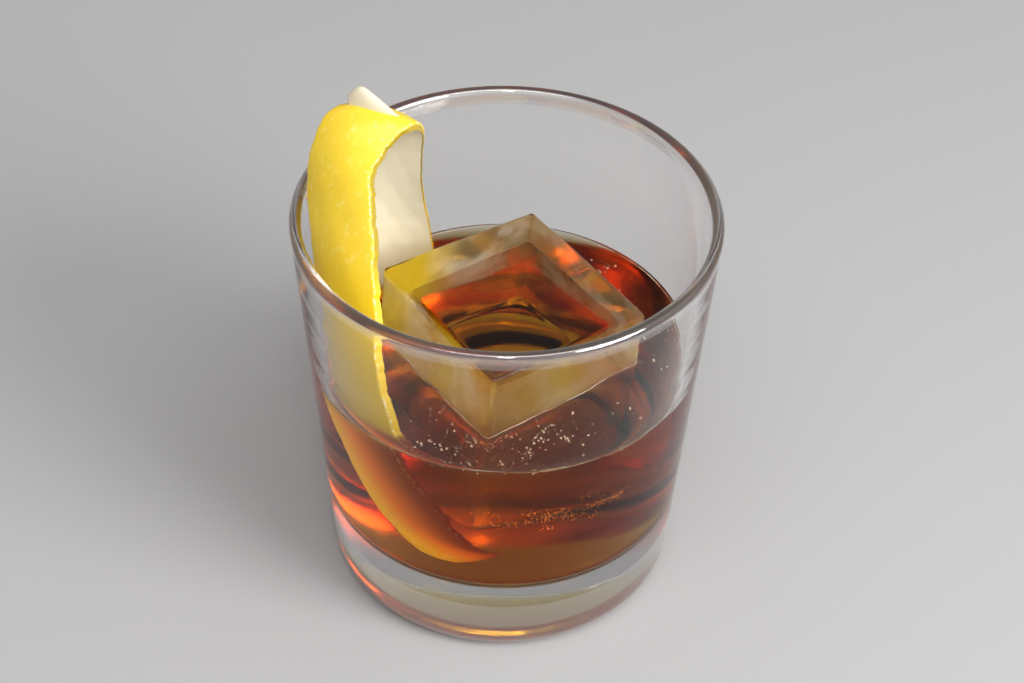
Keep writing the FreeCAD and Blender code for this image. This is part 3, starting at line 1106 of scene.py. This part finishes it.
# %% Floor
FLOOR_RADIUS = 3.0
floor_ring = round_axis(full_turn(64), FLOOR_RADIUS, 0.0)
floor = grid_piece("floor", floor_ring[None], last_pole=(0, 0, 0))
floor_finish = Finish("pale_floor")
floor_finish.surface(floor_finish.shader(Base_Color=(0.44, 0.435, 0.43), Roughness=0.9))
floor.data.materials.append(floor_finish.material)

# %% Sky
SKY_EVEN = 0.36
scene = bpy.context.scene
scene.world = bpy.data.worlds.new("soft_sky")
scene.world.use_nodes = True
sky = Nodes(scene.world.node_tree)
heading = sky.add("ShaderNodeTexCoord").out("Generated")


def sky_patch(toward, widest, narrowest, strength):
    """A soft patch of sky: full within narrowest of a direction, none past widest."""
    facing = sky.add("ShaderNodeVectorMath", {"operation": "DOT_PRODUCT"},
                     {0: heading, 1: Vector(toward).normalized()}).out("Value")
    edge, full = (math.cos(math.radians(v)) for v in (widest, narrowest))
    return facing.over(edge, full) * strength


front_patch = sky_patch((0.10, -0.80, 0.60), 62, 20, 0.6)
side_patch = sky_patch((0.85, -0.35, 0.45), 55, 15, 0.5)
background = sky.tree.nodes["Background"]
sky.put((0.98, 0.98, 1.0), background.inputs["Color"])
sky.put(SKY_EVEN + front_patch + side_patch, background.inputs["Strength"])

# %% Lamps
GLASS_MIDDLE = Vector((0, 0, 0.05))


def lamp(name, place, width, height, power):
    """A soft lamp with an oval face that looks at the glass."""
    light = bpy.data.lights.new(name, "AREA")
    light.shape = "ELLIPSE"
    light.size, light.size_y = width, height
    light.energy = power
    holder = bpy.data.objects.new(name, light)
    holder.location = place
    holder.rotation_mode = "QUATERNION"
    holder.rotation_quaternion = (GLASS_MIDDLE - Vector(place)).to_track_quat("-Z", "Y")
    scene.collection.objects.link(holder)


lamp("front_lamp", (0.01, -0.42, 0.56), 0.07, 0.07, 0.45)
lamp("wide_lamp", (0.05, -0.30, 0.72), 0.80, 0.14, 1.3)
lamp("right_lamp", (0.60, -0.44, 0.52), 0.50, 0.50, 6.8)

# %% Camera
CAMERA_TARGET = Vector((1.60, 0.0, 56.74)) * MM
CAMERA_DISTANCE = 552.8 * MM
CAMERA_ELEVATION = 0.726321        # radians
CAMERA_ROLL = 0.022632
back = Vector((0.0, -math.cos(CAMERA_ELEVATION), math.sin(CAMERA_ELEVATION)))
level_right = Vector((1.0, 0.0, 0.0))
level_up = back.cross(level_right)
camera_right = level_right * math.cos(CAMERA_ROLL) + level_up * math.sin(CAMERA_ROLL)
camera_up = level_up * math.cos(CAMERA_ROLL) - level_right * math.sin(CAMERA_ROLL)
camera_data = bpy.data.cameras.new("camera")
camera_data.lens = 91.4
camera_data.sensor_width = 36.0
camera_data.clip_start, camera_data.clip_end = 0.01, 20.0
camera = bpy.data.objects.new("camera", camera_data)
camera_turn = Matrix((camera_right, camera_up, back)).transposed().to_4x4()
camera.matrix_world = Matrix.Translation(CAMERA_TARGET + back * CAMERA_DISTANCE) @ camera_turn
scene.collection.objects.link(camera)
scene.camera = camera
scene.view_settings.view_transform = "Standard"
# Light runs down inside a glass wall by one mirror bounce after another.
LIGHT_BOUNCES = 96
scene.cycles.max_bounces = LIGHT_BOUNCES
scene.cycles.glossy_bounces = LIGHT_BOUNCES
scene.cycles.transmission_bounces = LIGHT_BOUNCES
